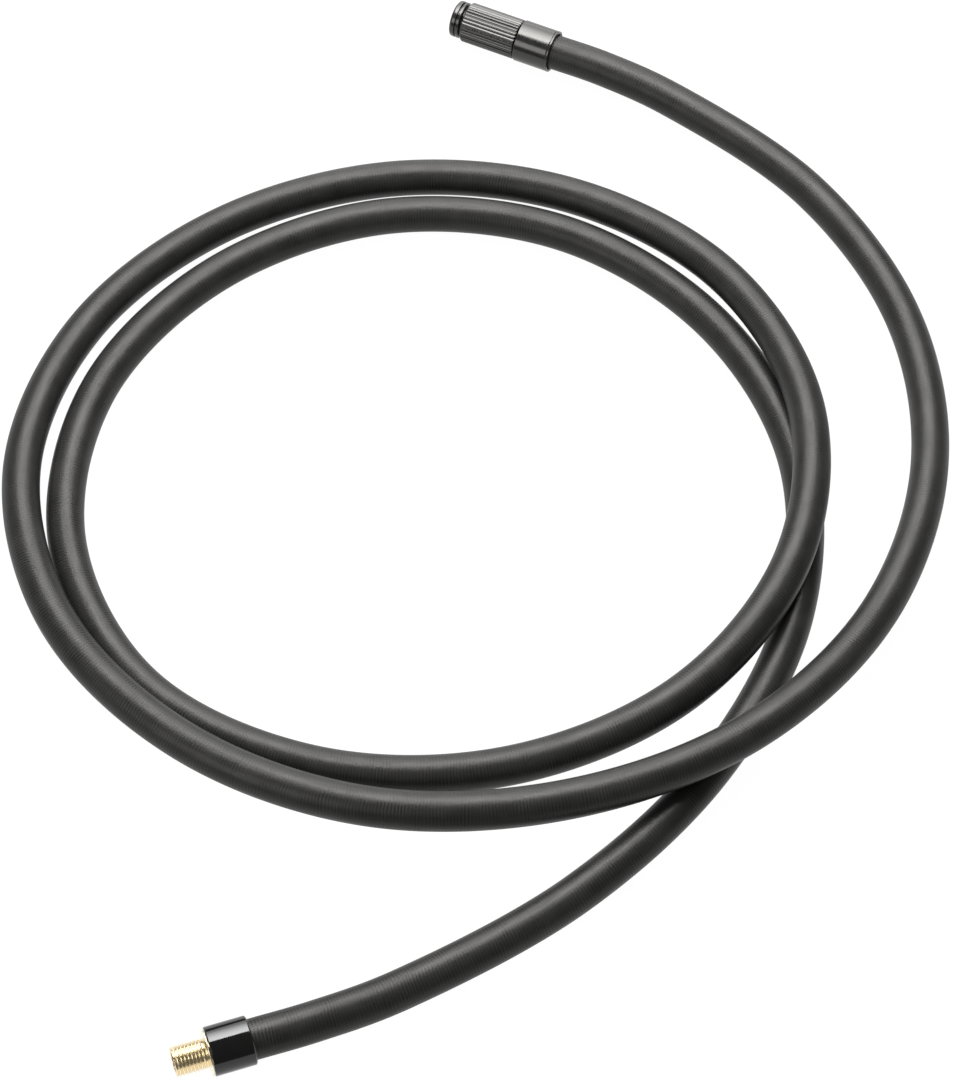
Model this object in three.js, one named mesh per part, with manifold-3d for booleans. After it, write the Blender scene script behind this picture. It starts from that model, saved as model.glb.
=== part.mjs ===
// Flexible hose assembly, lying in two loose turns.
//
// A 12 mm rubber hose, reinforced by a textile braid inside its wall, has a crimped fitting at each
// end: a plain brass stem with a male thread, and a coupling with a ribbed grip that spins on its tail.
// Millimetres, +Z up. The origin is on the standing surface, under the middle of the whole assembly.

import * as THREE from 'three';
import { mergeVertices } from 'three/addons/utils/BufferGeometryUtils.js';
import Module from 'manifold-3d';

const wasm = await Module();
wasm.setup();

// ---------------------------------------------------------------------------------------------
// Driving dimensions
// ---------------------------------------------------------------------------------------------

const GAP = 0.3; // clearance between neighbouring pieces
const GRIP_GAPS = { rear: 0.5, front: 0.55 }; // the open gaps at the two ends of the grip

const HOSE = {
  coverRadius: 6,
  coverWall: 1.15,
  braidWall: 0.4,
  linerWall: 0.85,
  sides: 10,
  steps: 80,
};

const TURNING = { coarse: 24, fine: 32 }; // segments round a turned piece

// Every fitting is turned about its own axis. Its heights run from 0, where the hose leaves the
// ferrule, towards its tip. The heading is the way the tip points, in degrees from +X towards +Y,
// and the rise is how far it points up. The threaded end's ferrule stands on its rear edge.
const COUPLING_END = { exit: new THREE.Vector3(-45.55, 192, 7.3), heading: 180, rise: 0 };
const THREAD_END = { exit: new THREE.Vector3(24, -180, 7.232), heading: 222.8, rise: 2 };

const FERRULE = { lip: 1.5, chamfer: 0.4, lipBore: 4.2 };
const COUPLING_FERRULE = { radius: 7.3, length: 12.8 };
const THREAD_FERRULE = { radius: 7.25, length: 12.4 };

const BARBS = { start: 1.5, count: 3, pitch: 2.6, land: 0.4, root: 2.2, crest: 2.55, bore: 1.8 };
const NECK_RADIUS = FERRULE.lipBore - GAP; // the stem where it passes the ferrule's lip

const COUPLING = {
  collarRadius: 5.2,
  collarLength: 1.4,
  journalRadius: 3.6,
  boreRadius: 3.9,
  bodyRadius: 5.3,
  gripBore: 5.6,
  gripRadius: 7,
  ribDepth: 0.3,
  ribCount: 32,
  gripLength: 20,
  gripNose: { length: 1, radius: 6.5, slopeTop: 7.5 },
  ringRadius: 6.4,
  rearRing: { length: 1.35, cone: 0.65, coneRadius: 5.6 },
  ringGroove: { width: 0.6, depth: 0.9 },
  frontRing: { length: 1.9, noseLength: 1, shoulder: 0.4, shoulderDrop: 0.2, noseDrop: 0.6 },
  socketRadius: 4.2,
  socketDepth: 9.1,
  webHole: 2.1,
};

const THREAD = {
  crest: 4.73,
  root: 4.13,
  pitch: 1.058,
  turns: 7,
  endLand: 0.95,
  neckRadius: 4.15,
  neckLength: 1.1,
  tipBore: 3.2,
  tipBoreDepth: 6,
};
const FLANGE = { radius: 7.15, rim: 0.3, height: 0.8 };

// The free route of the hose, from the coupling to the threaded end. It goes round twice. The first
// turn lies over the last one at two places, and rests on the second turn for a stretch between them.
const ROUTE = [
  [0, 189.5, 6.5],
  [57, 172.5, 6.1],
  [104, 136, 6.5],
  [132.5, 82.5, 9],
  [137, 20.5, 13.5],
  [116.5, -36.5, 18],
  [76, -79, 18.5],
  [23.5, -104, 17],
  [-35.5, -106, 15],
  [-91, -83.5, 13],
  [-129.5, -36, 9.5],
  [-137.5, 24, 6.5],
  [-115.5, 79, 6.1],
  [-72, 119, 6.5],
  [-15, 135.5, 8.5],
  [44.5, 123, 13],
  [89.5, 82.5, 17.5],
  [107, 26.5, 18],
  [94, -28, 14],
  [55, -70.5, 9],
  [0.5, -93.5, 6.5],
  [-58.5, -90, 6.1],
  [-104.5, -53.5, 6.1],
  [-122.5, 2.5, 6.1],
  [-108, 60, 6.1],
  [-68, 103.5, 6.1],
  [-12, 121.5, 6.1],
  [46, 109, 6.1],
  [91.5, 71, 6.1],
  [113, 16, 6.1],
  [110.5, -43.5, 6.1],
  [90, -99, 6.1],
  [56, -148.5, 7],
];
const LEAD_OUT = 19; // straight hose outside each ferrule, before the first free point

// ---------------------------------------------------------------------------------------------
// Materials
// ---------------------------------------------------------------------------------------------

const finish = (color, roughness, metalness) =>
  new THREE.MeshStandardMaterial({ color, roughness, metalness });

const materials = {
  cover: () => finish(0x2c2c2e, 0.5, 0),
  braid: () => finish(0xd8d2c2, 0.9, 0),
  liner: () => finish(0x1d1d1f, 0.6, 0),
  blackMetal: () => finish(0x3a3a3b, 0.35, 0.8),
  glossBlack: () => finish(0x141414, 0.15, 0.3),
  brass: () => finish(0xd9b56c, 0.25, 1),
  steel: () => finish(0xb9bcc0, 0.35, 1),
  seal: () => finish(0x101011, 0.55, 0),
};

// ---------------------------------------------------------------------------------------------
// Shape helpers
// ---------------------------------------------------------------------------------------------

// A closed outline of [radius, height] pairs, up the outside and down the bore, turned about Y.
function turned(outline, segments) {
  const points = [...outline, outline[0]].map(([radius, height]) => new THREE.Vector2(radius, height));
  return new THREE.LatheGeometry(points, segments);
}

function washer(outer, inner, low, high) {
  return turned([[outer, low], [outer, high], [inner, high], [inner, low]], TURNING.coarse);
}

function circlePoints(radius, count) {
  return Array.from({ length: count }, (_, i) => {
    const angle = (2 * Math.PI * i) / count;
    return new THREE.Vector2(radius * Math.cos(angle), radius * Math.sin(angle));
  });
}

// A geometry as a manifold solid, with its shared corners merged.
function solid(geometry) {
  const bare = geometry.clone();
  bare.deleteAttribute('normal');
  bare.deleteAttribute('uv');
  const merged = mergeVertices(bare, 1e-4);
  return new wasm.Manifold(new wasm.Mesh({
    numProp: 3,
    vertProperties: merged.attributes.position.array,
    triVerts: new Uint32Array(merged.index.array),
  }));
}

function geometryOf(manifold) {
  const { vertProperties, triVerts } = manifold.getMesh();
  const geometry = new THREE.BufferGeometry();
  geometry.setAttribute('position', new THREE.BufferAttribute(vertProperties, 3));
  geometry.setIndex(new THREE.BufferAttribute(triVerts, 1));
  geometry.computeVertexNormals();
  return geometry;
}

function piece(name, geometry, material) {
  const mesh = new THREE.Mesh(geometry, material);
  mesh.name = name;
  return mesh;
}

// ---------------------------------------------------------------------------------------------
// Hose
// ---------------------------------------------------------------------------------------------

// A turned piece is made along +Y. This turns it to where a fitting's tip points.
function towardsTip({ heading, rise }) {
  return new THREE.Euler(THREE.MathUtils.degToRad(rise), 0, THREE.MathUtils.degToRad(heading - 90), 'ZYX');
}

// The point at this height on a fitting's axis, where negative heights are outside the ferrule.
function onAxis(end, height) {
  return new THREE.Vector3(0, height, 0).applyEuler(towardsTip(end)).add(end.exit);
}

const hoseEnd = (ferrule) => ferrule.length - FERRULE.lip - GAP;

function hoseCurve() {
  return new THREE.CatmullRomCurve3([
    onAxis(COUPLING_END, hoseEnd(COUPLING_FERRULE)),
    onAxis(COUPLING_END, 0),
    onAxis(COUPLING_END, -LEAD_OUT),
    ...ROUTE.map((point) => new THREE.Vector3(...point)),
    onAxis(THREAD_END, -LEAD_OUT),
    onAxis(THREAD_END, 0),
    onAxis(THREAD_END, hoseEnd(THREAD_FERRULE)),
  ]);
}

function tubeAlong(curve, outer, inner) {
  const section = new THREE.Shape(circlePoints(outer, HOSE.sides));
  section.holes.push(new THREE.Path(circlePoints(inner, HOSE.sides)));
  return new THREE.ExtrudeGeometry(section, { steps: HOSE.steps, extrudePath: curve });
}

// Three concentric layers, the cover outside, the textile braid under it and the liner inside.
function hose() {
  const curve = hoseCurve();
  const coverBore = HOSE.coverRadius - HOSE.coverWall;
  const braidRadius = coverBore - GAP;
  const braidBore = braidRadius - HOSE.braidWall;
  const linerRadius = braidBore - GAP;
  return [
    piece('hose_cover', tubeAlong(curve, HOSE.coverRadius, coverBore), materials.cover()),
    piece('hose_braid', tubeAlong(curve, braidRadius, braidBore), materials.braid()),
    piece('hose_liner', tubeAlong(curve, linerRadius, linerRadius - HOSE.linerWall), materials.liner()),
  ];
}

// ---------------------------------------------------------------------------------------------
// Pieces that both ends have
// ---------------------------------------------------------------------------------------------

// A crimped sleeve over the hose, with a lip at its front that grips the stem's neck.
function ferrule({ radius, length }) {
  const { lip, chamfer, lipBore } = FERRULE;
  const bore = HOSE.coverRadius + GAP;
  return turned([
    [bore, 0],
    [radius - chamfer, 0],
    [radius, chamfer],
    [radius, length - chamfer / 2],
    [radius - chamfer / 2, length],
    [lipBore, length],
    [lipBore, length - lip],
    [bore, length - lip],
  ], TURNING.fine);
}

// The outline of a stem's barbed end and neck, up to the given height.
function barbedOutline(ferruleSize, top) {
  const barbs = Array.from({ length: BARBS.count }, (_, i) => {
    const low = BARBS.start + i * BARBS.pitch;
    const top = low + BARBS.pitch - BARBS.land;
    return [[BARBS.root, low], [BARBS.crest, top], [BARBS.root, top]];
  }).flat();
  const shoulder = ferruleSize.length - FERRULE.lip;
  return [...barbs, [BARBS.root, shoulder], [NECK_RADIUS, shoulder], [NECK_RADIUS, top]];
}

// ---------------------------------------------------------------------------------------------
// Coupling end
// ---------------------------------------------------------------------------------------------

const COLLAR_LOW = COUPLING_FERRULE.length + GAP;
const BODY_LOW = COLLAR_LOW + COUPLING.collarLength + GAP;
const GRIP_LOW = COUPLING_FERRULE.length + GRIP_GAPS.rear;
const GRIP_TOP = GRIP_LOW + COUPLING.gripLength;
const REAR_RING_LOW = GRIP_TOP + GRIP_GAPS.front;
const REAR_RING_TOP = REAR_RING_LOW + COUPLING.rearRing.length;
const FRONT_RING_LOW = REAR_RING_TOP + COUPLING.ringGroove.width;
const TIP = FRONT_RING_LOW + COUPLING.frontRing.length;

const CLIP = { low: 20.3, thickness: 0.8, groove: 1.4, inner: 3.25, outer: 4.4, split: 0.35 };
const O_RING = { height: 17.2, radius: 3.42, section: 0.38, groove: 1.4, floor: 2.85 };
const HEAD_LENGTH = 1.8;
const WEB = { low: 25, high: 26.8 };
const SEAL_STEP = 0.1; // how far the washer's hole is outside the web's hole

// The fixed stem that the coupling spins on. Its journal holds the O-ring, and its head the clip.
function couplingTail() {
  const { collarRadius, collarLength, journalRadius } = COUPLING;
  const collarTop = COLLAR_LOW + collarLength;
  const clipLow = CLIP.low - GAP;
  const clipTop = CLIP.low + CLIP.thickness + GAP;
  const headTop = clipTop + HEAD_LENGTH;
  return turned([
    ...barbedOutline(COUPLING_FERRULE, COLLAR_LOW),
    [collarRadius, COLLAR_LOW],
    [collarRadius, collarTop],
    [journalRadius, collarTop],
    [journalRadius, O_RING.height - O_RING.groove / 2],
    [O_RING.floor, O_RING.height - O_RING.groove / 2],
    [O_RING.floor, O_RING.height + O_RING.groove / 2],
    [journalRadius, O_RING.height + O_RING.groove / 2],
    [journalRadius, clipLow],
    [CLIP.inner - GAP, clipLow],
    [CLIP.inner - GAP, clipTop],
    [journalRadius, clipTop],
    [journalRadius, headTop],
    [BARBS.bore, headTop],
    [BARBS.bore, BARBS.start],
  ], TURNING.fine);
}

function swivelORing() {
  const { height, radius, section } = O_RING;
  const outline = circlePoints(section, 8).map((point) => [radius + point.x, height + point.y]);
  return turned(outline, TURNING.coarse);
}

// A split spring ring in the body's groove, behind the stem's head.
function retainingRing() {
  const { inner, outer, split, thickness, low } = CLIP;
  const shape = new THREE.Shape();
  shape.absarc(0, 0, outer, split, 2 * Math.PI - split, false);
  shape.absarc(0, 0, inner, 2 * Math.PI - split, split, true);
  const ring = new THREE.ExtrudeGeometry(shape, {
    depth: thickness,
    bevelEnabled: false,
    curveSegments: TURNING.coarse,
  });
  return ring.rotateX(-Math.PI / 2).translate(0, low, 0);
}

// The turned body. The grip is pressed over it, behind the two rings at its front. The rear ring
// has a conical back, which makes a V-shaped notch with the nose of the grip.
function couplingBody() {
  const { boreRadius, bodyRadius, ringRadius, rearRing, ringGroove, frontRing } = COUPLING;
  const { socketRadius, webHole } = COUPLING;
  const grooveLow = CLIP.low - GAP;
  const clipBore = CLIP.outer + GAP;
  return turned([
    [boreRadius, BODY_LOW],
    [bodyRadius, BODY_LOW],
    [bodyRadius, REAR_RING_LOW],
    [rearRing.coneRadius, REAR_RING_LOW],
    [ringRadius, REAR_RING_LOW + rearRing.cone],
    [ringRadius, REAR_RING_TOP],
    [ringRadius - ringGroove.depth, REAR_RING_TOP],
    [ringRadius - ringGroove.depth, FRONT_RING_LOW],
    [ringRadius, FRONT_RING_LOW],
    [ringRadius, TIP - frontRing.noseLength],
    [ringRadius - frontRing.shoulderDrop, TIP - frontRing.shoulder],
    [ringRadius - frontRing.noseDrop, TIP],
    [socketRadius, TIP],
    [socketRadius, WEB.high],
    [webHole, WEB.high],
    [webHole, WEB.low],
    [boreRadius, WEB.low],
    [boreRadius, grooveLow + CLIP.groove],
    [clipBore, grooveLow + CLIP.groove],
    [clipBore, grooveLow],
    [boreRadius, grooveLow],
  ], TURNING.fine);
}

// The soft washer at the bottom of the socket, which the mating fitting presses on.
function faceSeal() {
  const low = WEB.high + GAP;
  const high = TIP - COUPLING.socketDepth - GAP;
  return washer(COUPLING.socketRadius - GAP, COUPLING.webHole + SEAL_STEP, low, high);
}

// A tube with straight ribs all the way along, and a conical nose. The ribbed tube is cut by an
// envelope that clears it everywhere but at the nose.
function gripSleeve() {
  const { gripBore, gripRadius, gripNose, gripLength, ribDepth, ribCount } = COUPLING;
  const outline = circlePoints(1, 2 * ribCount)
    .map((point, i) => point.multiplyScalar(i % 2 ? gripRadius - ribDepth : gripRadius));
  const section = new THREE.Shape(outline);
  section.holes.push(new THREE.Path(circlePoints(gripBore, TURNING.fine)));
  const ribbed = new THREE.ExtrudeGeometry(section, { depth: gripLength, bevelEnabled: false })
    .rotateX(-Math.PI / 2)
    .translate(0, GRIP_LOW, 0);
  const clear = 1;
  const envelope = turned([
    [0, GRIP_LOW - clear],
    [gripNose.slopeTop, GRIP_LOW - clear],
    [gripNose.slopeTop, GRIP_TOP - gripNose.length],
    [gripNose.radius, GRIP_TOP],
    [gripNose.radius, GRIP_TOP + clear],
    [0, GRIP_TOP + clear],
  ], 2 * ribCount);
  return geometryOf(solid(ribbed).intersect(solid(envelope)));
}

// ---------------------------------------------------------------------------------------------
// Threaded end
// ---------------------------------------------------------------------------------------------

// The brass stem, with its flange in front of the ferrule and its thread as V-shaped ridges. Its
// bore is wider behind the tip.
function threadedStem() {
  const { crest, root, pitch, turns, endLand, neckRadius, neckLength, tipBore, tipBoreDepth } = THREAD;
  const flangeLow = THREAD_FERRULE.length + GAP;
  const flangeTop = flangeLow + FLANGE.height;
  const threadLow = flangeTop + neckLength;
  const tip = threadLow + turns * pitch + endLand;
  const ridges = Array.from({ length: turns }, (_, i) => {
    const low = threadLow + i * pitch;
    return [[root, low], [crest, low + pitch / 2]];
  }).flat();
  return turned([
    ...barbedOutline(THREAD_FERRULE, flangeLow),
    [FLANGE.radius, flangeLow],
    [FLANGE.radius, flangeLow + FLANGE.rim],
    [neckRadius, flangeTop],
    [neckRadius, threadLow],
    ...ridges,
    [root, tip - endLand],
    [root, tip],
    [tipBore, tip],
    [tipBore, tip - tipBoreDepth],
    [BARBS.bore, tip - tipBoreDepth],
    [BARBS.bore, BARBS.start],
  ], TURNING.coarse);
}

// ---------------------------------------------------------------------------------------------
// Assembly
// ---------------------------------------------------------------------------------------------

function fitting(end, pieces) {
  const group = new THREE.Group();
  group.add(...pieces);
  group.position.copy(end.exit);
  group.rotation.copy(towardsTip(end));
  return group;
}

const assembly = new THREE.Group();
assembly.add(...hose());

assembly.add(fitting(COUPLING_END, [
  piece('coupling_ferrule', ferrule(COUPLING_FERRULE), materials.blackMetal()),
  piece('coupling_tail', couplingTail(), materials.blackMetal()),
  piece('swivel_o_ring', swivelORing(), materials.seal()),
  piece('retaining_ring', retainingRing(), materials.steel()),
  piece('coupling_body', couplingBody(), materials.blackMetal()),
  piece('grip_sleeve', gripSleeve(), materials.blackMetal()),
  piece('face_seal', faceSeal(), materials.seal()),
]));

assembly.add(fitting(THREAD_END, [
  piece('thread_ferrule', ferrule(THREAD_FERRULE), materials.glossBlack()),
  piece('threaded_stem', threadedStem(), materials.brass()),
]));

export default assembly;
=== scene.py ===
"""Flexible supply hose, lying in two loose turns, with a crimped fitting at each end.

Metres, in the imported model's frame: +Z up, the floor at Z 0. The hose's route and the fittings' sizes
repeat the ones that the CAD model is made with.
"""

import math

import bmesh
import bpy
from mathutils import Matrix, Vector


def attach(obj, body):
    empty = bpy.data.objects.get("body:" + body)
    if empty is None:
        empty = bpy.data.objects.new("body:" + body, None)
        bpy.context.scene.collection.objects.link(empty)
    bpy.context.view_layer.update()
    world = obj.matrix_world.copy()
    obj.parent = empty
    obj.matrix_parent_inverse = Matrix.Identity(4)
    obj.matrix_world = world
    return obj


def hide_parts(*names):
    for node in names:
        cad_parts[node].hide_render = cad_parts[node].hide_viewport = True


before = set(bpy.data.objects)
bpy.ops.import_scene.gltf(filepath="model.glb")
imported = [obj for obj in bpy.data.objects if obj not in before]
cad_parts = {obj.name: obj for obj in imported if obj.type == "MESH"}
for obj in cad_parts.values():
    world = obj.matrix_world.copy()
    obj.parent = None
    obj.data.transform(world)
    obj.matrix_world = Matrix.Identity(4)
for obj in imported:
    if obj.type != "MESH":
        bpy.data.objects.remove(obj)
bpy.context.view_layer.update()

MM = 0.001

# ------------------------------------------------------------------------------------------------
# Sizes. The hose's route is in metres, and the fittings' sizes are in millimetres.
# ------------------------------------------------------------------------------------------------

COVER_RADII = (6, 4.65)
BRAID_RADII = (4.6, 4.05)
LINER_RADII = (4, 3)

# Local Z runs along a fitting's axis. Its heights start at 0, where the hose leaves the ferrule.
COUPLING_END = {"exit": Vector((-0.04555, 0.192, 0.0073)), "heading": 180, "rise": 0}
THREAD_END = {"exit": Vector((0.024, -0.18, 0.007232)), "heading": 222.8, "rise": 2}
HOSE_INSIDE = 0.0106  # how far the hose reaches into each ferrule
LEAD_OUT = 0.019  # how far it runs straight on behind each ferrule
LINE_STEP = 0.0025

# The hose's middle line between those straight stretches.
ROUTE = [
    (0.0, 0.1895, 0.0065), (0.057, 0.1725, 0.0061), (0.104, 0.136, 0.0065),
    (0.1325, 0.0825, 0.009), (0.137, 0.0205, 0.0135), (0.1165, -0.0365, 0.018),
    (0.076, -0.079, 0.0185), (0.0235, -0.104, 0.017), (-0.0355, -0.106, 0.015),
    (-0.091, -0.0835, 0.013), (-0.1295, -0.036, 0.0095), (-0.1375, 0.024, 0.0065),
    (-0.1155, 0.079, 0.0061), (-0.072, 0.119, 0.0065), (-0.015, 0.1355, 0.0085),
    (0.0445, 0.123, 0.013), (0.0895, 0.0825, 0.0175), (0.107, 0.0265, 0.018),
    (0.094, -0.028, 0.014), (0.055, -0.0705, 0.009), (0.0005, -0.0935, 0.0065),
    (-0.0585, -0.09, 0.0061), (-0.1045, -0.0535, 0.0061), (-0.1225, 0.0025, 0.0061),
    (-0.108, 0.06, 0.0061), (-0.068, 0.1035, 0.0061), (-0.012, 0.1215, 0.0061),
    (0.046, 0.109, 0.0061), (0.0915, 0.071, 0.0061), (0.113, 0.016, 0.0061),
    (0.1105, -0.0435, 0.0061), (0.09, -0.099, 0.0061), (0.056, -0.1485, 0.007),
]

# ------------------------------------------------------------------------------------------------
# Camera
# ------------------------------------------------------------------------------------------------

CAMERA = {"azimuth": 24.5, "elevation": 58.0, "distance": 0.960, "lens": 102.1}
CAMERA_TARGET = Vector((0.0125, -0.0005, 0.006))


def make_camera():
    data = bpy.data.cameras.new("camera")
    data.lens = CAMERA["lens"]
    camera = bpy.data.objects.new("camera", data)
    bpy.context.scene.collection.objects.link(camera)
    azimuth = math.radians(CAMERA["azimuth"])
    elevation = math.radians(CAMERA["elevation"])
    back = Vector((
        math.sin(azimuth) * math.cos(elevation),
        -math.cos(azimuth) * math.cos(elevation),
        math.sin(elevation),
    ))
    camera.location = CAMERA_TARGET + back * CAMERA["distance"]
    camera.rotation_mode = "QUATERNION"
    camera.rotation_quaternion = (-back).to_track_quat("-Z", "Y")
    data.clip_start = 0.01
    data.clip_end = 100
    bpy.context.scene.camera = camera


make_camera()

# ------------------------------------------------------------------------------------------------
# Mesh helpers
# ------------------------------------------------------------------------------------------------


def new_object(name, points, faces, smooth_angle=35):
    """A mesh object, smooth except across edges sharper than the angle in degrees."""
    mesh = bpy.data.meshes.new(name)
    mesh.from_pydata([tuple(p) for p in points], [], faces)
    made = bmesh.new()
    made.from_mesh(mesh)
    bmesh.ops.recalc_face_normals(made, faces=made.faces)
    made.to_mesh(mesh)
    made.free()
    mesh.shade_smooth()
    mesh.set_sharp_from_angle(angle=math.radians(smooth_angle))
    obj = bpy.data.objects.new(name, mesh)
    bpy.context.scene.collection.objects.link(obj)
    return obj


def skin_faces(rings, around, closed):
    """The four-cornered faces between rings of points. A closed skin joins its last ring to its first."""
    faces = []
    for i in range(rings if closed else rings - 1):
        low, high = i * around, (i + 1) % rings * around
        for j in range(around):
            k = (j + 1) % around
            faces.append((low + j, low + k, high + k, high + j))
    return faces


def rounded(outline, steps=4):
    """A closed outline of (radius, height, corner size), with its corners rounded."""
    points = []
    for i, (radius, height, size) in enumerate(outline):
        if size == 0:
            points.append((radius, height))
            continue
        corner = Vector((radius, height))
        before = Vector(outline[i - 1][:2]) - corner
        after = Vector(outline[(i + 1) % len(outline)][:2]) - corner
        size = min(size, before.length * 0.49, after.length * 0.49)
        start = corner + before.normalized() * size
        end = corner + after.normalized() * size
        for k in range(steps + 1):
            t = k / steps
            points.append(tuple(start * (1 - t) ** 2 + corner * 2 * t * (1 - t) + end * t ** 2))
    return points


def turned(name, end, rows, around):
    """A closed skin about a fitting's axis.

    Each row is (radius, height). Where the section isn't round, radius is a function of the angle and
    the height.
    """
    points = []
    for radius, height in rows:
        for j in range(around):
            angle = 2 * math.pi * j / around
            r = radius(angle, height) if callable(radius) else radius
            points.append(Vector((r * math.cos(angle), r * math.sin(angle), height)) * MM)
    obj = new_object(name, points, skin_faces(len(rows), around, True))
    return placed(obj, end)


def placed(obj, end):
    """Puts a piece on a fitting's axis, and shades its flat faces flat next to its rounded corners."""
    obj.matrix_world = fitting_matrix(end)
    obj.modifiers.new("even_shading", "WEIGHTED_NORMAL").keep_sharp = True
    return obj


def fitting_matrix(end):
    """Turns local Z to the end's heading and rise, and moves the start to where the hose leaves it."""
    turn = Matrix.Rotation(math.radians(end["heading"]), 4, "Z")
    lift = Matrix.Rotation(math.radians(90 - end["rise"]), 4, "Y")
    return Matrix.Translation(end["exit"]) @ turn @ lift


def join_part(obj, body, node):
    """Makes a piece move with its body and stand for its node."""
    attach(obj, body)
    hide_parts(node)


def between(low, high, step):
    """Evenly spaced heights from low to high, about a step apart, both ends among them."""
    count = max(1, round((high - low) / step))
    return [low + (high - low) * i / count for i in range(count + 1)]


# ------------------------------------------------------------------------------------------------
# Hose
# ------------------------------------------------------------------------------------------------


def on_axis(end, distance):
    """The point this far along a fitting's axis, in metres."""
    return fitting_matrix(end) @ Vector((0, 0, distance))


def route_points():
    """The whole hose, from inside the one ferrule to inside the other."""
    return [
        on_axis(COUPLING_END, HOSE_INSIDE),
        on_axis(COUPLING_END, 0),
        on_axis(COUPLING_END, -LEAD_OUT),
        *[Vector(p) for p in ROUTE],
        on_axis(THREAD_END, -LEAD_OUT),
        on_axis(THREAD_END, 0),
        on_axis(THREAD_END, HOSE_INSIDE),
    ]


def smooth_line(points, steps=40):
    """A centripetal Catmull-Rom curve through the points."""
    ends = [points[0] * 2 - points[1], *points, points[-1] * 2 - points[-2]]
    line = []
    for p0, p1, p2, p3 in zip(ends, ends[1:], ends[2:], ends[3:]):
        d0, d1, d2 = ((b - a).length ** 0.5 for a, b in ((p0, p1), (p1, p2), (p2, p3)))
        leave = ((p1 - p0) / d0 - (p2 - p0) / (d0 + d1) + (p2 - p1) / d1) * d1
        reach = ((p2 - p1) / d1 - (p3 - p1) / (d1 + d2) + (p3 - p2) / d2) * d1
        for i in range(steps):
            t = i / steps
            line.append(
                p1 + leave * t
                + (p2 * 3 - p1 * 3 - leave * 2 - reach) * t ** 2
                + (p1 * 2 - p2 * 2 + leave + reach) * t ** 3
            )
    return line + [points[-1]]


def evenly_spaced(line, spacing):
    """The same line with its points about this far apart, and its length."""
    lengths = [0.0]
    for a, b in zip(line, line[1:]):
        lengths.append(lengths[-1] + (b - a).length)
    count = round(lengths[-1] / spacing)
    out, i = [], 0
    for k in range(count + 1):
        at = lengths[-1] * k / count
        while i < len(line) - 2 and lengths[i + 1] < at:
            i += 1
        share = (at - lengths[i]) / (lengths[i + 1] - lengths[i])
        out.append(line[i].lerp(line[i + 1], min(max(share, 0), 1)))
    return out, lengths[-1]


def frames_along(line):
    """At each point, two directions across the line that turn as little as they can."""
    across = Vector((0, 0, 1))
    frames = []
    for i in range(len(line)):
        ahead = (line[min(i + 1, len(line) - 1)] - line[max(i - 1, 0)]).normalized()
        across = (across - ahead * across.dot(ahead)).normalized()
        frames.append((across, ahead.cross(across)))
    return frames


def tube(name, line, radii, around):
    """A thick-walled tube. Its UV map holds metres along the hose, and turns round it."""
    frames = frames_along(line)
    outer, inner = radii
    points = []
    for radius, order in ((outer, range(len(line))), (inner, range(len(line) - 1, -1, -1))):
        for i in order:
            a, b = frames[i]
            for j in range(around):
                angle = 2 * math.pi * j / around
                points.append(line[i] + (a * math.cos(angle) + b * math.sin(angle)) * radius * MM)
    obj = new_object(name, points, skin_faces(2 * len(line), around, True))
    map_tube(obj.data, len(line), around, (line[1] - line[0]).length)
    return obj


def map_tube(mesh, rings, around, step):
    """Maps each corner by its ring and column. The last column's faces run on past a whole turn."""
    layer = mesh.uv_layers.new(name="along_and_round")
    for polygon in mesh.polygons:
        columns = [mesh.loops[k].vertex_index % around for k in polygon.loop_indices]
        seam = max(columns) - min(columns) > 1
        for k, column in zip(polygon.loop_indices, columns):
            ring = mesh.loops[k].vertex_index // around
            ring = ring if ring < rings else 2 * rings - 1 - ring
            turn = (column + around if seam and column == 0 else column) / around
            layer.data[k].uv = (ring * step, turn)


HOSE_LINE, HOSE_LENGTH = evenly_spaced(smooth_line(route_points()), LINE_STEP)

rubber_cover = tube("rubber_cover", HOSE_LINE, COVER_RADII, 40)
textile_braid = tube("textile_braid", HOSE_LINE, BRAID_RADII, 32)
inner_liner = tube("inner_liner", HOSE_LINE, LINER_RADII, 32)
join_part(rubber_cover, "hose", "hose_cover")
join_part(textile_braid, "hose", "hose_braid")
join_part(inner_liner, "hose", "hose_liner")

# ------------------------------------------------------------------------------------------------
# Pieces that both ends have
# ------------------------------------------------------------------------------------------------

CRIMPED_BORE = 6.04
LIP_BORE = 4.2
LIP = 1.5  # the lip's thickness
NECK_RADIUS = 3.9  # the stem's radius in the lip
EDGE = 0.1  # the size of a machined part's broken corners

BARBS = {"start": 1.5, "count": 3, "pitch": 2.6, "land": 0.4, "root": 2.2, "crest": 2.55, "bore": 1.8}
SATIN_FERRULE = {"radius": 7.26, "rim": 7.3, "length": 12.8, "flare": 0.6, "flare_depth": 1.2}
GLOSS_FERRULE = {"radius": 7.23, "chamfer": 0.4, "length": 12.4, "flare": 0.2, "flare_depth": 0.5}


def lip_outline(length):
    """The front of a ferrule, with the lip that grips the stem."""
    return [
        (LIP_BORE, length, EDGE),
        (LIP_BORE, length - LIP, EDGE),
        (CRIMPED_BORE, length - LIP, EDGE),
    ]


def barbed_outline(ferrule_length, top):
    """A stem's outside, from its barbs in the hose to the top of its neck in the ferrule's lip."""
    outline = []
    for i in range(BARBS["count"]):
        low = BARBS["start"] + i * BARBS["pitch"]
        high = low + BARBS["pitch"] - BARBS["land"]
        outline += [(BARBS["root"], low, 0), (BARBS["crest"], high, 0.05), (BARBS["root"], high, 0.05)]
    shoulder = ferrule_length - LIP
    neck = [(BARBS["root"], shoulder, EDGE), (NECK_RADIUS, shoulder, EDGE), (NECK_RADIUS, top, 0)]
    return outline + neck


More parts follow.
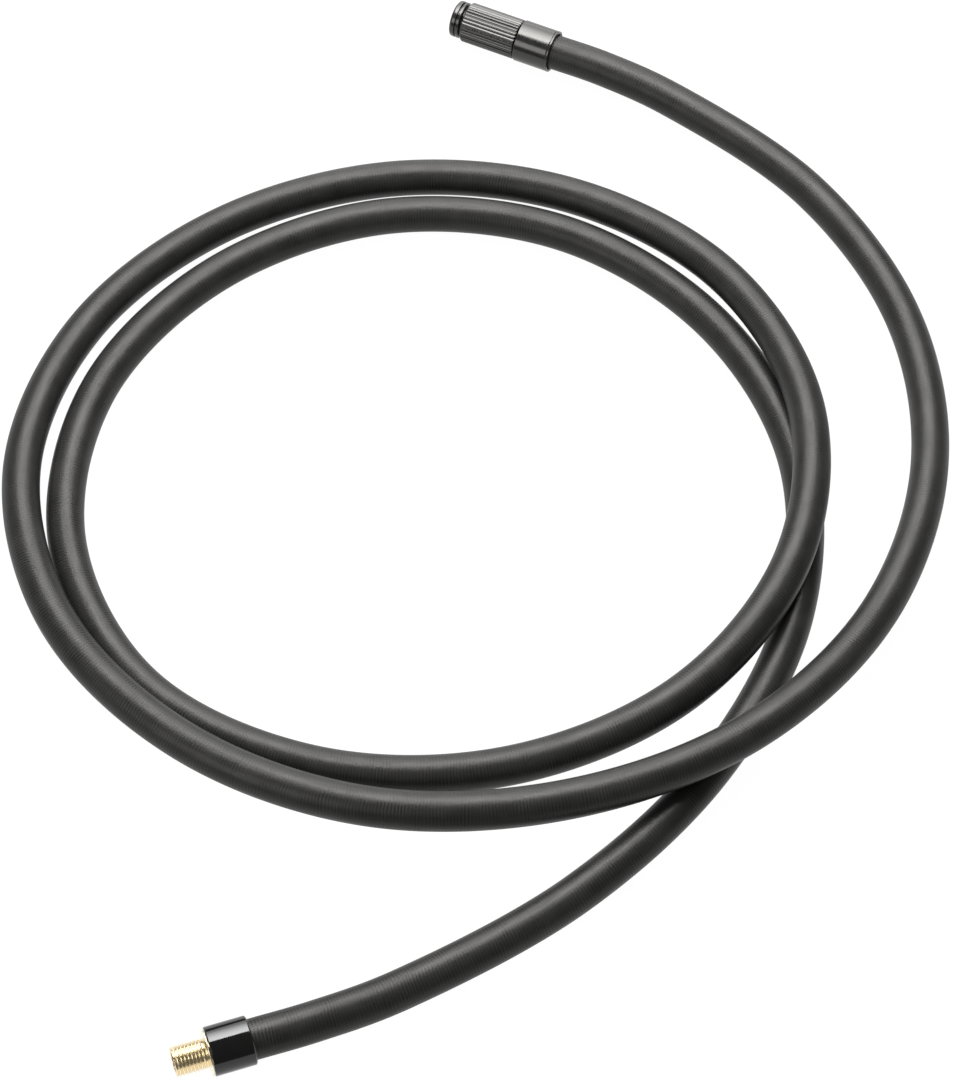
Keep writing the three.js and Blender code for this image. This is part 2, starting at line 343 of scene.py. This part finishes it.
# ------------------------------------------------------------------------------------------------
# Coupling end
# ------------------------------------------------------------------------------------------------

COLLAR = {"low": 13.1, "high": 14.5, "radius": 5.2}
JOURNAL_RADIUS = 3.6
HEAD_TOP = 23.2
O_RING = {"height": 17.2, "radius": 3.42, "section": 0.38, "groove": 1.4, "floor": 2.85}
SPLIT_RING = {"low": 20.3, "high": 21.1, "inner": 3.25, "outer": 4.4, "split": 0.35, "seat": 0.3}

BODY = {"low": 14.8, "radius": 5.3, "bore": 3.9, "tip": 37.7}
REAR_RING = {"low": 33.9, "high": 35.2, "cone_radius": 5.85, "cone": 0.45}
FRONT_RING = {"low": 35.8, "nose": 1, "nose_radius": 5.8}
RING_RADIUS = 6.4
RING_GROOVE = 0.9
WEB = {"low": 25, "high": 26.8, "hole": 2.1}
SEAL = {"low": 27.1, "high": 28.2, "outer": 3.9, "inner": 2.2}
SOCKET = {"minor": 4.2, "major": 4.78, "thread_low": 28.8, "mouth": 4.95}

GRIP = {"low": 13.3, "high": 33.3, "bore": 5.6, "radius": 7, "nose_radius": 6.5, "rear_radius": 6.75}
RIBS = {"count": 32, "depth": 0.28, "tip": 0.5}  # a larger tip is rounder

THREAD_PITCH = 1.058
FLANK_SLOPE = 1 / math.tan(math.radians(30))  # a 60 degree thread
THREAD_FLAT = 0.13  # the crest's width


def make_satin_ferrule():
    """A smooth sleeve with a rolled rim and a flared mouth where the hose leaves it."""
    rim, radius, length = SATIN_FERRULE["rim"], SATIN_FERRULE["radius"], SATIN_FERRULE["length"]
    outline = [
        (CRIMPED_BORE, SATIN_FERRULE["flare_depth"], 0.3),
        (CRIMPED_BORE + SATIN_FERRULE["flare"], 0, 0.1),
        (rim, 0, 0.15),
        (rim, 0.6, 0.2),
        (radius - 0.1, 0.75, 0.1),
        (radius, 1, 0.15),
        (radius, length, 0.25),
        *lip_outline(length),
    ]
    return turned("satin_ferrule", COUPLING_END, rounded(outline), 96)


def make_swivel_tail():
    """The barbed tail, with a collar, and a journal that the coupling turns on."""
    groove_low = O_RING["height"] - O_RING["groove"] / 2
    groove_high = O_RING["height"] + O_RING["groove"] / 2
    seat_low = SPLIT_RING["low"] - SPLIT_RING["seat"]
    seat_high = SPLIT_RING["high"] + SPLIT_RING["seat"]
    seat_radius = SPLIT_RING["inner"] - SPLIT_RING["seat"]
    outline = [
        *barbed_outline(SATIN_FERRULE["length"], COLLAR["low"]),
        (COLLAR["radius"], COLLAR["low"], EDGE),
        (COLLAR["radius"], COLLAR["high"], EDGE),
        (JOURNAL_RADIUS, COLLAR["high"], EDGE),
        (JOURNAL_RADIUS, groove_low, EDGE),
        (O_RING["floor"], groove_low, EDGE),
        (O_RING["floor"], groove_high, EDGE),
        (JOURNAL_RADIUS, groove_high, EDGE),
        (JOURNAL_RADIUS, seat_low, EDGE),
        (seat_radius, seat_low, EDGE),
        (seat_radius, seat_high, EDGE),
        (JOURNAL_RADIUS, seat_high, EDGE),
        (JOURNAL_RADIUS, HEAD_TOP, 0.3),
        (BARBS["bore"], HEAD_TOP, EDGE),
        (BARBS["bore"], BARBS["start"], EDGE),
    ]
    return turned("swivel_tail", COUPLING_END, rounded(outline), 64)


def make_o_ring():
    rows = []
    for i in range(16):
        angle = 2 * math.pi * i / 16
        rows.append((
            O_RING["radius"] + O_RING["section"] * math.cos(angle),
            O_RING["height"] + O_RING["section"] * math.sin(angle),
        ))
    return turned("o_ring", COUPLING_END, rows, 64)


def make_split_ring():
    """A flat spring ring with a gap in it, closed by a face at each of its ends."""
    inner, outer, low, high = (SPLIT_RING[key] for key in ("inner", "outer", "low", "high"))
    section = rounded([(inner, low, EDGE), (outer, low, EDGE), (outer, high, EDGE), (inner, high, EDGE)])
    steps, across = 72, len(section)
    points = []
    for i in range(steps + 1):
        angle = SPLIT_RING["split"] + (2 * math.pi - 2 * SPLIT_RING["split"]) * i / steps
        points += [Vector((r * math.cos(angle), r * math.sin(angle), h)) * MM for r, h in section]
    faces = skin_faces(steps + 1, across, False)
    faces += [tuple(range(across)), tuple(range(steps * across, (steps + 1) * across))]
    return placed(new_object("split_ring", points, faces), COUPLING_END)


def ridge(angle, height, start):
    """How far down a right-hand thread's flank a point is, with 0 on the crest's flat."""
    phase = ((height - start) / THREAD_PITCH - angle / (2 * math.pi)) % 1
    return max(abs(phase - 0.5) * THREAD_PITCH - THREAD_FLAT / 2, 0) * FLANK_SLOPE


def socket_radius(angle, height):
    """The female thread, which opens out towards the mouth and stops above the seal."""
    deep = min(SOCKET["major"] - SOCKET["minor"], max(height - SOCKET["thread_low"], 0))
    cut = max(SOCKET["major"] - ridge(angle, height, 0), SOCKET["minor"])
    lead = SOCKET["mouth"] - (BODY["tip"] - height)
    return max(min(cut, SOCKET["minor"] + deep), lead)


def make_ringed_body():
    """The turned body. Its two rings show in front of the grip, and its socket has a female thread."""
    tip, bore, groove_radius = BODY["tip"], BODY["bore"], RING_RADIUS - RING_GROOVE
    seat_low = SPLIT_RING["low"] - SPLIT_RING["seat"]
    seat_high = SPLIT_RING["high"] + SPLIT_RING["seat"]
    seat_radius = SPLIT_RING["outer"] + SPLIT_RING["seat"]
    outside = [
        (bore, BODY["low"], EDGE),
        (BODY["radius"], BODY["low"], EDGE),
        (BODY["radius"], REAR_RING["low"], 0.05),
        (REAR_RING["cone_radius"], REAR_RING["low"], 0.05),
        (RING_RADIUS, REAR_RING["low"] + REAR_RING["cone"], 0.15),
        (RING_RADIUS, REAR_RING["high"], 0.12),
        (groove_radius, REAR_RING["high"], 0.12),
        (groove_radius, FRONT_RING["low"], 0.12),
        (RING_RADIUS, FRONT_RING["low"], 0.12),
        (RING_RADIUS, tip - FRONT_RING["nose"] / 2, 0.5),
        (FRONT_RING["nose_radius"], tip, 0.3),
        (SOCKET["mouth"], tip, 0),
    ]
    inside = [
        (SOCKET["minor"], WEB["high"], EDGE),
        (WEB["hole"], WEB["high"], EDGE),
        (WEB["hole"], WEB["low"], EDGE),
        (bore, WEB["low"], EDGE),
        (bore, seat_high, 0.05),
        (seat_radius, seat_high, EDGE),
        (seat_radius, seat_low, EDGE),
        (bore, seat_low, 0.05),
    ]
    shape = rounded(outside + inside)
    mouth = shape.index((SOCKET["mouth"], tip))
    thread = [(socket_radius, h) for h in reversed(between(SOCKET["thread_low"], tip, THREAD_PITCH / 16))]
    return turned("ringed_body", COUPLING_END, shape[:mouth] + thread + shape[mouth + 1:], 96)


def grip_radius(angle, height):
    """Straight ribs with rounded tips and sharp valleys, bevelled at both ends of the grip."""
    tip = RIBS["tip"]
    from_tip = abs(2 * (angle * RIBS["count"] / (2 * math.pi) % 1) - 1)
    drop = (math.hypot(from_tip, tip) - tip) / (math.hypot(1, tip) - tip)
    ribs = GRIP["radius"] - RIBS["depth"] * drop
    nose = GRIP["nose_radius"] + (GRIP["high"] - height)
    rear = GRIP["rear_radius"] + (height - GRIP["low"])
    return min(ribs, nose, rear)


def make_ribbed_grip():
    """The grip's rows of points lie close together only at its bevelled ends."""
    low, high = GRIP["low"], GRIP["high"]
    ends = [between(low, low + 0.6, 0.1), between(high - 0.9, high, 0.09)]
    heights = ends[0] + between(low + 1, high - 1.5, 2) + ends[1]
    rows = [(grip_radius, h) for h in heights] + [(GRIP["bore"], high), (GRIP["bore"], low)]
    return turned("ribbed_grip", COUPLING_END, rows, RIBS["count"] * 16)


def make_socket_washer():
    inner, outer, low, high = (SEAL[key] for key in ("inner", "outer", "low", "high"))
    outline = [(inner, low, EDGE), (outer, low, EDGE), (outer, high, 0.2), (inner, high, 0.2)]
    return turned("socket_washer", COUPLING_END, rounded(outline), 64)


satin_ferrule = make_satin_ferrule()
swivel_tail = make_swivel_tail()
o_ring = make_o_ring()
split_ring = make_split_ring()
ringed_body = make_ringed_body()
ribbed_grip = make_ribbed_grip()
socket_washer = make_socket_washer()

join_part(satin_ferrule, "hose", "coupling_ferrule")
join_part(swivel_tail, "hose", "coupling_tail")
join_part(o_ring, "hose", "swivel_o_ring")
join_part(split_ring, "coupling", "retaining_ring")
join_part(ringed_body, "coupling", "coupling_body")
join_part(ribbed_grip, "coupling", "grip_sleeve")
join_part(socket_washer, "coupling", "face_seal")

# ------------------------------------------------------------------------------------------------
# Threaded end
# ------------------------------------------------------------------------------------------------

FLANGE = {"low": 12.7, "high": 13.5, "radius": 7.15, "rim": 0.3}
STEM = {"crest": 4.73, "root": 4.13, "neck": 4.15, "thread_low": 14.05, "first_root": 13.58}
TIP = {"height": 22.956, "radius": 4.13, "bore": 3.2, "bore_depth": 6, "chamfer": 0.15}


def make_gloss_ferrule():
    """A straight sleeve, chamfered at both of its ends."""
    radius, chamfer, length = (GLOSS_FERRULE[key] for key in ("radius", "chamfer", "length"))
    outline = [
        (CRIMPED_BORE, GLOSS_FERRULE["flare_depth"], 0.2),
        (CRIMPED_BORE + GLOSS_FERRULE["flare"], 0, 0.1),
        (radius - chamfer, 0, 0.15),
        (radius, chamfer, 0.15),
        (radius, length - chamfer / 2, 0.1),
        (radius - chamfer / 2, length, 0.1),
        *lip_outline(length),
    ]
    return turned("gloss_ferrule", THREAD_END, rounded(outline), 96)


def stem_radius(angle, height):
    """The male thread, which grows out of the neck and is chamfered at the tip."""
    rise = STEM["neck"] + (height - STEM["thread_low"])
    lead = TIP["radius"] + (TIP["height"] - height)
    return min(max(STEM["crest"] - ridge(angle, height, STEM["first_root"]), STEM["root"]), rise, lead)


def make_brass_stem():
    """The male stem in one piece: barbed tail, flange, neck and thread. Its bore widens in the tip."""
    tip, bore, bore_low = TIP["height"], TIP["bore"], TIP["height"] - TIP["bore_depth"]
    outline = [
        *barbed_outline(GLOSS_FERRULE["length"], FLANGE["low"]),
        (FLANGE["radius"], FLANGE["low"], 0.05),
        (FLANGE["radius"], FLANGE["low"] + FLANGE["rim"], 0.1),
        (STEM["neck"], FLANGE["high"], 0.2),
        (STEM["neck"], STEM["thread_low"], 0),
        (bore + TIP["chamfer"], tip, 0.05),
        (bore, tip - TIP["chamfer"], 0.05),
        (bore, bore_low, EDGE),
        (BARBS["bore"], bore_low, EDGE),
        (BARBS["bore"], BARBS["start"], EDGE),
    ]
    shape = rounded(outline)
    top = shape.index((STEM["neck"], STEM["thread_low"]))
    thread = [(stem_radius, h) for h in between(STEM["thread_low"], tip, THREAD_PITCH / 20)]
    return turned("brass_stem", THREAD_END, shape[:top] + thread + shape[top + 1:], 128)


gloss_ferrule = make_gloss_ferrule()
brass_stem = make_brass_stem()
join_part(gloss_ferrule, "hose", "thread_ferrule")
join_part(brass_stem, "hose", "threaded_stem")

# ------------------------------------------------------------------------------------------------
# Materials
# ------------------------------------------------------------------------------------------------


def make_material(name, color, roughness, **values):
    """A new material, its shader and a function that adds nodes to it."""
    material = bpy.data.materials.new(name)
    material.use_nodes = True
    tree = material.node_tree
    shader = tree.nodes["Principled BSDF"]
    shader.inputs["Base Color"].default_value = (*color, 1)
    shader.inputs["Roughness"].default_value = roughness
    for key, value in values.items():
        shader.inputs[key.replace("_", " ")].default_value = value
    return material, shader, adder(tree)


def adder(tree):
    """A function that adds one node. Its inputs are values, or sockets of other nodes."""
    def add(kind, inputs=None, **settings):
        node = tree.nodes.new(kind)
        for key, value in settings.items():
            setattr(node, key, value)
        for key, value in (inputs or {}).items():
            if isinstance(value, bpy.types.NodeSocket):
                tree.links.new(value, node.inputs[key])
            else:
                node.inputs[key].default_value = value
        return node
    add.link = tree.links.new
    return add


def math_node(add, operation, *values):
    return add("ShaderNodeMath", dict(enumerate(values)), operation=operation).outputs[0]


def noise(add, coordinates, scale, detail=3):
    inputs = {"Vector": coordinates, "Scale": scale, "Detail": detail}
    return add("ShaderNodeTexNoise", inputs).outputs["Fac"]


def ranged(add, value, low, high, start=0.0, end=1.0):
    """The value, mapped from start..end to low..high."""
    inputs = {"Value": value, "From Min": start, "From Max": end, "To Min": low, "To Max": high}
    return add("ShaderNodeMapRange", inputs).outputs["Result"]


def mixed(add, factor, first, second):
    node = add("ShaderNodeMix", data_type="RGBA")
    add.link(factor, node.inputs["Factor"])
    for socket, color in ((node.inputs[6], first), (node.inputs[7], second)):
        if isinstance(color, bpy.types.NodeSocket):
            add.link(color, socket)
        else:
            socket.default_value = (*color, 1)
    return node.outputs[2]


def bumped(add, shader, height):
    """Shades the surface by its height in metres."""
    node = add("ShaderNodeBump", {"Height": height, "Distance": 1.0, "Strength": 1.0})
    add.link(node.outputs["Normal"], shader.inputs["Normal"])


def hose_coordinates(add, radius):
    """Metres along the hose, turns round it, and a place in the hose as if it were straight.

    A pattern that is made from the place has no seam.
    """
    split = add("ShaderNodeSeparateXYZ", {0: add("ShaderNodeUVMap", uv_map="along_and_round").outputs[0]})
    along, turns = split.outputs[0], split.outputs[1]
    angle = math_node(add, "MULTIPLY", turns, 2 * math.pi)
    across = math_node(add, "MULTIPLY", math_node(add, "COSINE", angle), radius * MM)
    up = math_node(add, "MULTIPLY", math_node(add, "SINE", angle), radius * MM)
    place = add("ShaderNodeCombineXYZ", {0: along, 1: across, 2: up}).outputs[0]
    return along, turns, place


WARM = (1, 0.985, 0.955, 1)  # the slight tint of what the black surfaces reflect
MARK_PITCH = 1 * MM
BRAID = {"yarns": 24, "lay": 0.029}  # yarns each way, and metres along the hose for one turn of a yarn


def rubber_material():
    """Satin black rubber. The wrap that it was cured in left faint marks across it, 1 mm apart."""
    black = (0.01, 0.01, 0.01)
    reflection = {"Specular_IOR_Level": 0.26, "Specular_Tint": WARM}
    material, shader, add = make_material("satin_rubber", black, 0.42, **reflection)
    along, _, place = hose_coordinates(add, COVER_RADII[0])
    drift = ranged(add, noise(add, place, 90), -0.0006, 0.0006)
    phase = math_node(add, "MULTIPLY", math_node(add, "ADD", along, drift), 2 * math.pi / MARK_PITCH)
    strength = ranged(add, noise(add, place, 260), 0.1, 1, 0.35, 0.7)
    marks = math_node(add, "MULTIPLY", math_node(add, "SINE", phase), strength)
    grain = math_node(add, "MULTIPLY", noise(add, place, 4200, 2), 0.02 * MM)
    bumped(add, shader, math_node(add, "MULTIPLY_ADD", marks, 0.024 * MM, grain))
    cloudy = noise(add, place, 140, 5)
    shade = math_node(add, "MULTIPLY_ADD", marks, 0.45, cloudy)
    color = mixed(add, shade, (0.006, 0.006, 0.0058), (0.022, 0.0217, 0.021))
    dust = ranged(add, noise(add, place, 1500, 2), 0, 1, 0.74, 0.78)
    add.link(mixed(add, dust, color, (0.07, 0.068, 0.065)), shader.inputs["Base Color"])
    stretched = add("ShaderNodeMapping", {"Vector": place, "Scale": (0.12, 1, 1)}).outputs[0]
    streaks = noise(add, stretched, 700, 3)
    duller = math_node(add, "MULTIPLY_ADD", marks, 0.05, ranged(add, streaks, 0.36, 0.48, 0.3, 0.7))
    add.link(duller, shader.inputs["Roughness"])
    return material


def object_place(add):
    """The place on a piece in its own metres, with a fitting's axis along Z."""
    return add("ShaderNodeTexCoord").outputs["Object"]


def turning_marks(add, place, pitch):
    """Fine uneven grooves round the axis, from 0 to 1."""
    along = add("ShaderNodeSeparateXYZ", {0: place}).outputs[2]
    squeezed = add("ShaderNodeCombineXYZ", {0: 0, 1: 0, 2: along}).outputs[0]
    return noise(add, squeezed, 1 / pitch, 2)


def satin_metal_material():
    """Black plated metal. Its turning marks are just visible through the plating."""
    black = (0.006, 0.006, 0.006)
    reflection = {"Specular_IOR_Level": 0.62, "Specular_Tint": WARM}
    material, shader, add = make_material("satin_black_metal", black, 0.2, **reflection)
    place = object_place(add)
    marks = turning_marks(add, place, 0.09 * MM)
    pits = noise(add, place, 5200, 2)
    pitted = math_node(add, "MULTIPLY", pits, 0.0006 * MM)
    bumped(add, shader, math_node(add, "MULTIPLY_ADD", marks, 0.0008 * MM, pitted))
    patches = noise(add, place, 420, 4)
    color = mixed(add, patches, (0.006, 0.006, 0.0058), (0.011, 0.011, 0.0105))
    add.link(color, shader.inputs["Base Color"])
    add.link(ranged(add, patches, 0.18, 0.24, 0.3, 0.7), shader.inputs["Roughness"])
    return material


def gloss_metal_material():
    """Deep black gloss plating, with the slight unevenness of a dipped coat."""
    material, shader, add = make_material("gloss_black_metal", (0.003, 0.003, 0.003), 0.07)
    place = object_place(add)
    swell = noise(add, place, 600, 2)
    bumped(add, shader, math_node(add, "MULTIPLY", swell, 0.006 * MM))
    patches = noise(add, place, 260, 4)
    color = mixed(add, patches, (0.0025, 0.0025, 0.0024), (0.0045, 0.0045, 0.0043))
    add.link(color, shader.inputs["Base Color"])
    add.link(ranged(add, patches, 0.05, 0.11, 0.3, 0.7), shader.inputs["Roughness"])
    return material


def brass_material():
    """Bright turned brass, a little duller in patches. Painted shade makes it darker and browner down in
    the thread and wherever it lies at or below the roots' radius.
    """
    material, shader, add = make_material("turned_brass", (0.92, 0.81, 0.54), 0.18, Metallic=1)
    place = object_place(add)
    marks = turning_marks(add, place, 0.07 * MM)
    bumped(add, shader, math_node(add, "MULTIPLY", marks, 0.001 * MM))
    flat = add("ShaderNodeVectorMath", {0: place, 1: (1, 1, 0)}, operation="MULTIPLY").outputs[0]
    radius = add("ShaderNodeVectorMath", {0: flat}, operation="LENGTH").outputs["Value"]
    patches = noise(add, place, 520, 4)
    unshaded_brass = mixed(add, patches, (0.97, 0.92, 0.74), (0.94, 0.88, 0.68))
    # Painted shade: a darker, browner colour towards the thread's roots and on everything at or below their
    # radius, such as the neck, the barbs and the bore.
    height = ranged(add, radius, 0, 1, STEM["root"] * MM, (STEM["crest"] - 0.1) * MM)
    add.link(mixed(add, height, (0.88, 0.73, 0.48), unshaded_brass), shader.inputs["Base Color"])
    add.link(ranged(add, patches, 0.17, 0.25, 0.3, 0.7), shader.inputs["Roughness"])
    return material


def steel_material():
    """Bright spring steel with a fine grain."""
    material, shader, add = make_material("spring_steel", (0.62, 0.63, 0.65), 0.3, Metallic=1)
    place = object_place(add)
    patches = noise(add, place, 900, 4)
    bumped(add, shader, math_node(add, "MULTIPLY", noise(add, place, 6000, 2), 0.004 * MM))
    add.link(mixed(add, patches, (0.56, 0.57, 0.6), (0.68, 0.68, 0.7)), shader.inputs["Base Color"])
    add.link(ranged(add, patches, 0.24, 0.38, 0.3, 0.7), shader.inputs["Roughness"])
    return material


def seal_material():
    """Matt black rubber with a fine grain."""
    material, shader, add = make_material("seal_rubber", (0.025, 0.025, 0.025), 0.6)
    place = object_place(add)
    bumped(add, shader, math_node(add, "MULTIPLY", noise(add, place, 5000, 3), 0.015 * MM))
    patches = noise(add, place, 700, 4)
    add.link(mixed(add, patches, (0.018, 0.018, 0.018), (0.034, 0.034, 0.034)), shader.inputs["Base Color"])
    add.link(ranged(add, patches, 0.52, 0.68, 0.3, 0.7), shader.inputs["Roughness"])
    return material


def braid_material():
    """Off-white yarns, wound both ways round the hose and crossing in a diamond pattern, with painted shade
    in the low places between them.
    """
    material, shader, add = make_material("textile_braid", (0.82, 0.79, 0.71), 0.85)
    along, turns, place = hose_coordinates(add, BRAID_RADII[0])
    lead = math_node(add, "MULTIPLY", along, 2 * math.pi * BRAID["yarns"] / BRAID["lay"])
    wind = math_node(add, "MULTIPLY", turns, 2 * math.pi * BRAID["yarns"])
    one_way = math_node(add, "SINE", math_node(add, "ADD", lead, wind))
    other_way = math_node(add, "SINE", math_node(add, "SUBTRACT", lead, wind))
    crossing = math_node(add, "MAXIMUM", one_way, other_way)
    fuzz = noise(add, place, 6000, 3)
    fibres = math_node(add, "MULTIPLY", fuzz, 0.03 * MM)
    bumped(add, shader, math_node(add, "MULTIPLY_ADD", crossing, 0.06 * MM, fibres))
    yarn = mixed(add, fuzz, (0.7, 0.66, 0.57), (0.86, 0.83, 0.76))
    # Painted shade: the colour darkens where the weave is low, between the yarns.
    painted_gap_shade = ranged(add, crossing, 0, 1, -0.4, 0.6)
    add.link(mixed(add, painted_gap_shade, (0.4, 0.37, 0.31), yarn), shader.inputs["Base Color"])
    add.link(ranged(add, fuzz, 0.78, 0.95, 0.3, 0.7), shader.inputs["Roughness"])
    return material


def liner_material():
    """Smooth extruded rubber, with faint lines along it."""
    material, shader, add = make_material("liner_rubber", (0.02, 0.02, 0.022), 0.5)
    _, _, place = hose_coordinates(add, LINER_RADII[0])
    stretched = add("ShaderNodeMapping", {"Vector": place, "Scale": (0.05, 1, 1)}).outputs[0]
    bumped(add, shader, math_node(add, "MULTIPLY", noise(add, stretched, 3000, 2), 0.01 * MM))
    patches = noise(add, place, 300, 4)
    add.link(mixed(add, patches, (0.014, 0.014, 0.016), (0.028, 0.028, 0.03)), shader.inputs["Base Color"])
    add.link(ranged(add, patches, 0.44, 0.56, 0.3, 0.7), shader.inputs["Roughness"])
    return material


satin_metal = satin_metal_material()
seal_rubber = seal_material()
for obj, material in (
    (rubber_cover, rubber_material()),
    (textile_braid, braid_material()),
    (inner_liner, liner_material()),
    (satin_ferrule, satin_metal),
    (swivel_tail, satin_metal),
    (o_ring, seal_rubber),
    (split_ring, steel_material()),
    (ringed_body, satin_metal),
    (ribbed_grip, satin_metal),
    (socket_washer, seal_rubber),
    (gloss_ferrule, gloss_metal_material()),
    (brass_stem, brass_material()),
):
    obj.data.materials.append(material)

# ------------------------------------------------------------------------------------------------
# Floor and light
# ------------------------------------------------------------------------------------------------

# The camera's own ahead and right, laid flat on the floor.
TURN = math.radians(CAMERA["azimuth"])
AHEAD = Vector((-math.sin(TURN), math.cos(TURN), 0))
RIGHT = Vector((math.cos(TURN), math.sin(TURN), 0))


FLOOR_HALF = 9
WORLD_STRENGTH = 0.15


def make_floor():
    """A light table: it glows white itself, so that hardly any shadow shows on it."""
    far = FLOOR_HALF
    corners = [(-far, -far, 0), (far, -far, 0), (far, far, 0), (-far, far, 0)]
    floor = new_object("floor", corners, [(0, 1, 2, 3)])
    material, shader, add = make_material("light_table", (0.04, 0.04, 0.04), 0.9, Specular_IOR_Level=0.1)
    shader.inputs["Emission Color"].default_value = (1, 1, 1, 1)
    cloudy = noise(add, object_place(add), 3, 3)
    add.link(mixed(add, cloudy, (0.03, 0.03, 0.03), (0.05, 0.05, 0.05)), shader.inputs["Base Color"])
    add.link(ranged(add, cloudy, 0.975, 0.995), shader.inputs["Emission Strength"])
    floor.data.materials.append(material)


def make_softbox(name, near, far, width, bright, dim):
    """A flat light from its near edge to its far edge, as bright as asked at the near one.

    An edge is given by how far ahead of the middle it is, how far to the right, and how high.
    """
    edges = [AHEAD * ahead + RIGHT * right + Vector((0, 0, high)) for ahead, right, high in (near, far)]
    middle = (edges[0] + edges[1]) / 2
    data = bpy.data.lights.new(name, "AREA")
    data.shape = "RECTANGLE"
    data.size = width
    data.size_y = (edges[0] - edges[1]).length
    data.energy = math.pi * data.size * data.size_y
    data.use_nodes = True
    light = bpy.data.objects.new(name, data)
    bpy.context.scene.collection.objects.link(light)
    up = (edges[0] - edges[1]).normalized()
    back = (middle - up * up.dot(middle)).normalized()
    place = Matrix((up.cross(back), up, back)).transposed().to_4x4()
    place.translation = middle
    light.matrix_world = place
    light.visible_camera = False
    fade_light(data.node_tree, bright, dim)
    return light


def fade_light(tree, bright, dim):
    """Full strength at the near edge, falling smoothly to the dim strength past the middle."""
    add = adder(tree)
    spread = add("ShaderNodeSeparateXYZ", {0: add("ShaderNodeNewGeometry").outputs["Parametric"]})
    inputs = {"Value": spread.outputs[1], "From Min": 0.35, "From Max": 1, "To Min": dim, "To Max": bright}
    strength = add("ShaderNodeMapRange", inputs, interpolation_type="SMOOTHSTEP").outputs["Result"]
    add.link(strength, tree.nodes["Emission"].inputs["Strength"])


def flag(light, pieces, state):
    """Lets a light fall on these pieces only (INCLUDE), or on all the others (EXCLUDE)."""
    flagged = bpy.data.collections.new(light.name + "_flag")
    for piece in pieces:
        flagged.objects.link(piece)
    for entry in flagged.collection_objects:
        entry.light_linking.link_state = state
    light.light_linking.receiver_collection = flagged


def make_world():
    """A dim even surround, which the black surfaces reflect between the lights."""
    world = bpy.data.worlds.new("studio")
    world.use_nodes = True
    background = world.node_tree.nodes["Background"]
    background.inputs["Color"].default_value = (1, 1, 1, 1)
    background.inputs["Strength"].default_value = WORLD_STRENGTH
    bpy.context.scene.world = world
    bpy.context.scene.view_settings.view_transform = "Standard"


SOFTBOX = {"near": (0.18, 0, 0.97), "far": (1.5, 0, 0.03), "width": 0.76}
FILL = {"near": (-0.45, -0.55, 0.78), "far": (-0.7, -0.76, 0.36), "width": 0.55}

make_floor()
make_world()
softbox = make_softbox("softbox", **SOFTBOX, bright=16, dim=2.5)
# The bright brass is shaded from the softbox, which would bleach it, and gets a weaker one.
weak_softbox = make_softbox("weak_softbox", **SOFTBOX, bright=5, dim=2.4)
flag(softbox, [brass_stem], "EXCLUDE")
flag(weak_softbox, [brass_stem], "INCLUDE")
make_softbox("fill", **FILL, bright=3.8, dim=3.8)
